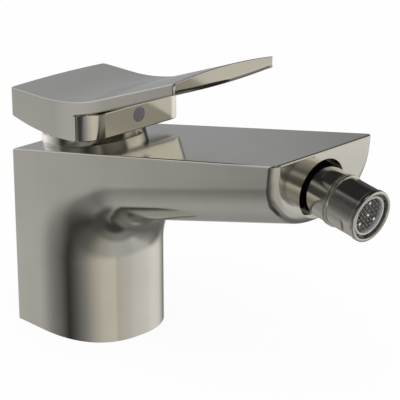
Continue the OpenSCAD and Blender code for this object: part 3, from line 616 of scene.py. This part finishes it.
back_corner_r, front_corner_r = 1.5, 0.9
side_steps = 16
outline_low, outline_high = 70, 140
lean_z = 121
cove_fold, cove_ease, cove_ease_steps = (-110, -35), 0.8, 4
tip_fold, tip_ease, tip_ease_steps = (40, 100), 1.9, 6
rim_fold, rim_ease, rim_ease_steps = (40, 120), 0.55, 3
cove_z = 92


def side_x(y):
    """Distance of the handle's sides from its middle, wider in front."""
    share = min(max((flare_start - y) / (flare_start - flare_end), 0), 1)
    return block_half + flare * share * share * (3 - 2 * share)


half_outline = []
for step in range(corner_steps + 1):
    angle = math.pi / 2 * (step / corner_steps - 1)
    half_outline.append((side_x(-plate_reach) - front_corner_r + front_corner_r * math.cos(angle),
                         -plate_reach + front_corner_r + front_corner_r * math.sin(angle)))
for step in range(side_steps + 1):
    y = flare_end + (flare_start - flare_end) * step / side_steps
    half_outline.append((side_x(y), y))
for step in range(corner_steps + 1):
    angle = math.pi / 2 * step / corner_steps
    half_outline.append((block_half - back_corner_r + back_corner_r * math.cos(angle),
                         handle_back - back_corner_r + back_corner_r * math.sin(angle)))
handle_outline = half_outline + [(-x, y) for x, y in reversed(half_outline)]
outline_shape = prism(handle_outline, outline_low, outline_high)
for vert in outline_shape.verts:
    if vert.co.y < flare_end - 1:
        vert.co.y -= (vert.co.z - lean_z) * math.tan(front_lean)
handle_shape = combined(combined(plate_shape, block_shape, "UNION"), outline_shape, "INTERSECT")
bmesh.ops.remove_doubles(handle_shape, verts=handle_shape.verts, dist=1e-3)
bmesh.ops.dissolve_limit(handle_shape, angle_limit=math.radians(0.15), verts=handle_shape.verts,
                         edges=handle_shape.edges)


def folded(shape, fold, where):
    """Edges with a fold between the two angles, negative where inward, and a middle in that place."""
    return [edge for edge in shape.edges if edge.is_manifold
            and fold[0] < math.degrees(edge.calc_face_angle_signed(0)) < fold[1]
            and where((edge.verts[0].co + edge.verts[1].co) / 2)]


# The coves where block and plate meet are eased first, then the plate's lower edge in front, where
# the casting is ground rounder, and last all the other edges
ease(handle_shape, folded(handle_shape, cove_fold, lambda at: at.z > cove_z),
     cove_ease, cove_ease_steps)
at_front = folded(handle_shape, tip_fold, lambda at: at.y < -plate_reach + 1.2)
front_bottom = [edge for edge in at_front
                if max(vert.co.z for vert in edge.verts) < lean_z + 0.2
                and abs(edge.verts[0].co.x - edge.verts[1].co.x) > 0.5]
ease(handle_shape, front_bottom, tip_ease, tip_ease_steps)
ease(handle_shape, folded(handle_shape, rim_fold, lambda at: True), rim_ease, rim_ease_steps)


def circle(radius):
    """Outline of a round hole or boss."""
    steps = 48
    return [(radius * math.cos(math.tau * n / steps), radius * math.sin(math.tau * n / steps))
            for n in range(steps)]


def rectangle(x0, y0, x1, y1):
    """Outline from one corner to the opposite one."""
    return [(x0, y0), (x1, y0), (x1, y1), (x0, y1)]


# The hollow leaves a wall round it, a boss for the stem and one in front of it for the grub screw
wall = 2.8
hollow_front = 23.25
hollow_low, ceiling_z = 60, 95.5
clear = 40
tool_low, tool_high = 50, 110
stem_boss_r, stem_boss_z = 6.5, 86
screw_boss_half, screw_boss_back, screw_boss_z = 4.75, 3.25, 90.4
socket_half, socket_low, socket_z = 3.65, 84, 96.15
screw_hole_r = 2.51
plug_seat_r, plug_seat = 3.01, 24.15
plug_z = 95
to_front = Matrix.Translation((0, 0, plug_z)) @ Matrix.Rotation(math.radians(90), 4, "X")
hollow = combined(prism(block_outline(wall, 0), hollow_low, ceiling_z),
                  prism(rectangle(-clear, -hollow_front, clear, clear), tool_low, tool_high), "INTERSECT")
hollow = combined(hollow, prism(circle(stem_boss_r), stem_boss_z, tool_high), "DIFFERENCE")
screw_boss = rectangle(-screw_boss_half, -clear, screw_boss_half, -screw_boss_back)
hollow = combined(hollow, prism(screw_boss, screw_boss_z, tool_high), "DIFFERENCE")
stem_socket = prism(rectangle(-socket_half, -socket_half, socket_half, socket_half), socket_low, socket_z)
screw_hole = prism(circle(screw_hole_r), 0, clear)
plug_hole = prism(circle(plug_seat_r), plug_seat, clear)
for hole in (screw_hole, plug_hole):
    bmesh.ops.transform(hole, verts=hole.verts, matrix=to_front)
for tool in (hollow, stem_socket, screw_hole, plug_hole):
    handle_shape = combined(handle_shape, tool, "DIFFERENCE")
smooth(handle_shape)
piece("lever_handle", handle_shape, warm_nickel, "lever", "satin_nickel", "handle")


# Indicator plug: a small round button of grey plastic, moulded, and pressed into its seat in the
# handle's front, over the grub screw.
plug_r, plug_face_r = 3, 2.5
plug_inner, plug_edge, plug_face = 24.25, 27.25, 27.3
axis_r = 0.0001
plug_grey = finish("plug_plastic", (0.42, 0.39, 0.44), (0.37, 0.345, 0.39), 0.32, 0.5, bump=0.2)
plug_shape = turned([(plug_inner, axis_r, 0), (plug_inner, plug_r, 0.2), (plug_edge, plug_r, 0.35),
                     (plug_face, plug_face_r, 0.1), (plug_face, axis_r, 0)])
bmesh.ops.transform(plug_shape, verts=plug_shape.verts, matrix=to_front)
smooth(plug_shape)
piece("indicator_button", plug_shape, plug_grey, "lever", "plug_plastic", "indicator_plug")


# Swivel outlet, shell: turned from brass and plated. Its round end swings in the recess, and its
# tube ends in a raised ring, with the thread for the sleeve inside.
def ball_arc(radius, first, last, steps):
    """Points on a ball's outline, as heights and radii, between two angles from its equator."""
    angles = [math.radians(first + (last - first) * step / steps) for step in range(steps + 1)]
    return [(radius * math.sin(a), radius * math.cos(a), 0) for a in angles]


on_outlet = Matrix.Translation(outlet_spot) @ Matrix.Rotation(math.radians(90) + outlet_drop, 4, "X")


def outlet_piece(name, shape, material, slot, *nodes):
    """Piece drawn on the ball's centre, with the outlet's way as its third axis."""
    bmesh.ops.transform(shape, verts=shape.verts, matrix=on_outlet)
    smooth(shape)
    piece(name, shape, material, "swivel", slot, *nodes)


ball_r, ball_start, ball_end = 9.7, -42.1, 9.5
cup_r, cup_end = 6.65, -30
mouth, mouth_inner_r, mouth_outer_r = -6.5, 6.8, 7.2
tube_start, tube_r, thread_r = 1.9, 9.5, 8.05
raised_start, raised_r, joint = 12.5, 10, 13.3
shell_profile = [(mouth, mouth_inner_r, 0), (mouth, mouth_outer_r, 0)]
shell_profile += ball_arc(ball_r, ball_start, ball_end, 20)
shell_profile += [(tube_start, tube_r, 0), (raised_start, tube_r, 0.1), (raised_start, raised_r, 0.2),
                  (joint, raised_r, 0.2), (joint, thread_r, 0.1), (0, thread_r, 0), (0, cup_r, 0)]
shell_profile += ball_arc(cup_r, 0, cup_end, 12)[1:]
outlet_piece("swivel_ball_shell", turned(shell_profile), warm_nickel, "dark_nickel", "swivel_shell")


# Swivel outlet, sleeve: turned and plated, screwed to the shell against the raised ring, with a
# flat on each side for a spanner and a thick rounded rim round the aerator.
sleeve_thread_r, sleeve_bore_r, aerator_r = 8, 6, 8.5
groove_r, groove_end, raised_end = 9.4, 13.6, 14.4
rim_r, rim_start, sleeve_end = 9.8, 25.6, 27.4
sleeve_start, aerator_seat = 7.2, 16
sleeve_shape = turned([(sleeve_start, sleeve_bore_r, 0.1), (sleeve_start, sleeve_thread_r, 0.1),
                       (joint, sleeve_thread_r, 0), (joint, groove_r, 0), (groove_end, groove_r, 0),
                       (groove_end, raised_r, 0.2), (raised_end, raised_r, 0.2),
                       (raised_end, tube_r, 0.1), (rim_start, tube_r, 0.1), (rim_start, rim_r, 0.15),
                       (sleeve_end, rim_r, 0.55), (sleeve_end, aerator_r, 0.3),
                       (aerator_seat, aerator_r, 0), (aerator_seat, sleeve_bore_r, 0.1)])
flat_r, flat_start, flat_clear = 8.9, 21.3, 12
for flat_angle in (25, 205):
    spanner_flat = prism(rectangle(flat_r, -flat_clear, flat_clear, flat_clear), flat_start, rim_start)
    bmesh.ops.rotate(spanner_flat, verts=spanner_flat.verts,
                     matrix=Matrix.Rotation(math.radians(flat_angle), 3, "Z"))
    sleeve_shape = combined(sleeve_shape, spanner_flat, "DIFFERENCE")
outlet_piece("swivel_tube_sleeve", sleeve_shape, warm_nickel, "dark_nickel", "swivel_sleeve")


# Aerator cage: a moulded plastic ring with a thin dull plating, screwed into the sleeve. It holds
# the jet former and the screen.
cage_r, cage_bore_r, lip_r = 8.4, 6.7, 7.5
cage_start, lip_start, lip_end = 19.5, 24, 26.4
cage_shape = turned([(cage_start, cage_r, 0.1), (lip_start, cage_r, 0.2), (lip_start, lip_r, 0.1),
                     (lip_end, lip_r, 0.25), (lip_end, cage_bore_r, 0.2), (cage_start, cage_bore_r, 0.1)])
cage_plastic = finish("cage_plastic", (0.62, 0.62, 0.60), (0.55, 0.55, 0.53), 0.25, 0.4, metallic=0.3)
outlet_piece("aerator_ring", cage_shape, cage_plastic, "grey_plastic", "aerator_cage")


# Wire screen: fine steel wires woven over and under each other, and clamped in the aerator's cage.
# Each wire waves up and down by a little more than its own radius.
wire_r, wire_gap, wire_lift = 0.095, 1.3, 0.11
wire_sides = 6
screen_r, screen_s = 6.68, 25.4
wire_count = int(2 * screen_r / wire_gap)
section = [(wire_r * math.cos(math.tau * n / wire_sides), wire_r * math.sin(math.tau * n / wire_sides))
           for n in range(wire_sides)]
swapped = Matrix(((0, 1, 0), (1, 0, 0), (0, 0, 1))).to_4x4()
screen_shape = bmesh.new()
for number in range(wire_count + 1):
    offset = (number - wire_count / 2) * wire_gap
    half = math.sqrt(screen_r ** 2 - offset ** 2)
    steps = max(4, round(4 * half / wire_gap)) * 2
    for crossing in (0, 1):
        wire_rows = []
        for step in range(steps + 1):
            along = -half + 2 * half * step / steps
            lift = wire_lift * math.cos(math.pi * (along / wire_gap + number + crossing - wire_count / 2))
            wire_rows.append([Vector((along, offset + aside, screen_s + lift + up_by))
                              for aside, up_by in section])
        wire_shape = swept(wire_rows)
        if crossing:
            bmesh.ops.transform(wire_shape, verts=wire_shape.verts, matrix=swapped)
        wire_mesh = bpy.data.meshes.new("wire")
        wire_shape.to_mesh(wire_mesh)
        wire_shape.free()
        screen_shape.from_mesh(wire_mesh)
        bpy.data.meshes.remove(wire_mesh)
bmesh.ops.recalc_face_normals(screen_shape, faces=screen_shape.faces)
bmesh.ops.rotate(screen_shape, verts=screen_shape.verts, matrix=Matrix.Rotation(math.radians(45), 3, "Z"))
screen_steel = finish("screen_steel", (0.60, 0.60, 0.58), (0.52, 0.52, 0.50), 0.3, 0.45, metallic=0.8)
outlet_piece("woven_screen", screen_shape, screen_steel, "steel_mesh", "wire_screen")


# Inner and small parts, which keep the CAD mesh: brass and steel as they come from the machine,
# ground ceramic discs, plastic and rubber as they come from the mould. They show only in part.
def dress(material, *nodes):
    """Gives CAD nodes their material."""
    for node in nodes:
        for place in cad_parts[node].material_slots:
            place.material = material


dress(warm_nickel, "ball_nipple")
dress(finish("raw_brass", (0.60, 0.43, 0.17), (0.45, 0.30, 0.12), 0.25, 0.45, metallic=1.0, bump=0.3),
      "retaining_nut")
dress(finish("ground_steel", (0.50, 0.50, 0.49), (0.42, 0.42, 0.41), 0.25, 0.4, metallic=1.0, bump=0.2),
      "lever_stem", "stem_pin", "grub_screw")
dress(finish("lapped_ceramic", (0.80, 0.79, 0.76), (0.74, 0.72, 0.68), 0.12, 0.2, bump=0.05),
      "fixed_disc", "moving_disc")
dress(finish("white_moulding", (0.74, 0.74, 0.72), (0.68, 0.68, 0.65), 0.35, 0.5, bump=0.25),
      "cartridge_housing", "driver", "slip_liner", "ball_seat")
dress(finish("grey_moulding", (0.16, 0.16, 0.165), (0.12, 0.12, 0.125), 0.35, 0.55, bump=0.3),
      "cartridge_base", "disc_carrier", "slide_ring")
dress(finish("red_moulding", (0.52, 0.03, 0.025), (0.42, 0.02, 0.02), 0.35, 0.5, bump=0.25), "limit_ring")
dress(finish("black_rubber", (0.018, 0.018, 0.018), (0.03, 0.03, 0.03), 0.55, 0.75, bump=0.4),
      "base_gasket", "port_seals", "nipple_seal", "ball_seal", "washer")
dark_plastic = (0.02, 0.02, 0.02), (0.03, 0.03, 0.03), 0.4, 0.6
dress(finish("jet_plastic", *dark_plastic, bump=0.2), "flow_disc")

# Jet former: black, with a painted highlight on the tips of its support pins, pale where they reach the
# screen
pin_glint_colour = (0.85, 0.85, 0.83, 1)
glint_start, glint_full = 0.5 * mm, 0.3 * mm
glint_painted_plastic = finish("glint_painted_plastic", *dark_plastic, bump=0.2)
tree = glint_painted_plastic.node_tree
shader = tree.nodes["Principled BSDF"]
own_place = wired(tree, "ShaderNodeTexCoord").outputs["Object"]
outward = wired(tree, "ShaderNodeVectorMath", {0: own_place, 1: outlet_way}, operation="DOT_PRODUCT")
tip = max(vert.co.dot(outlet_way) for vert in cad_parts["jet_former"].data.vertices)
glint_mask = wired(tree, "ShaderNodeMapRange", {"Value": outward.outputs["Value"],
                                              "From Min": tip - glint_start,
                                              "From Max": tip - glint_full}).outputs["Result"]
black = shader.inputs["Base Color"].links[0].from_socket
# Painted highlight: the pin tips turn pale over the black, fading in over the last half millimetre
glint_mix = wired(tree, "ShaderNodeMix", {0: glint_mask, 6: black, 7: pin_glint_colour}, data_type="RGBA")
tree.links.new(glint_mix.outputs[2], shader.inputs["Base Color"])
dress(glint_painted_plastic, "jet_former")
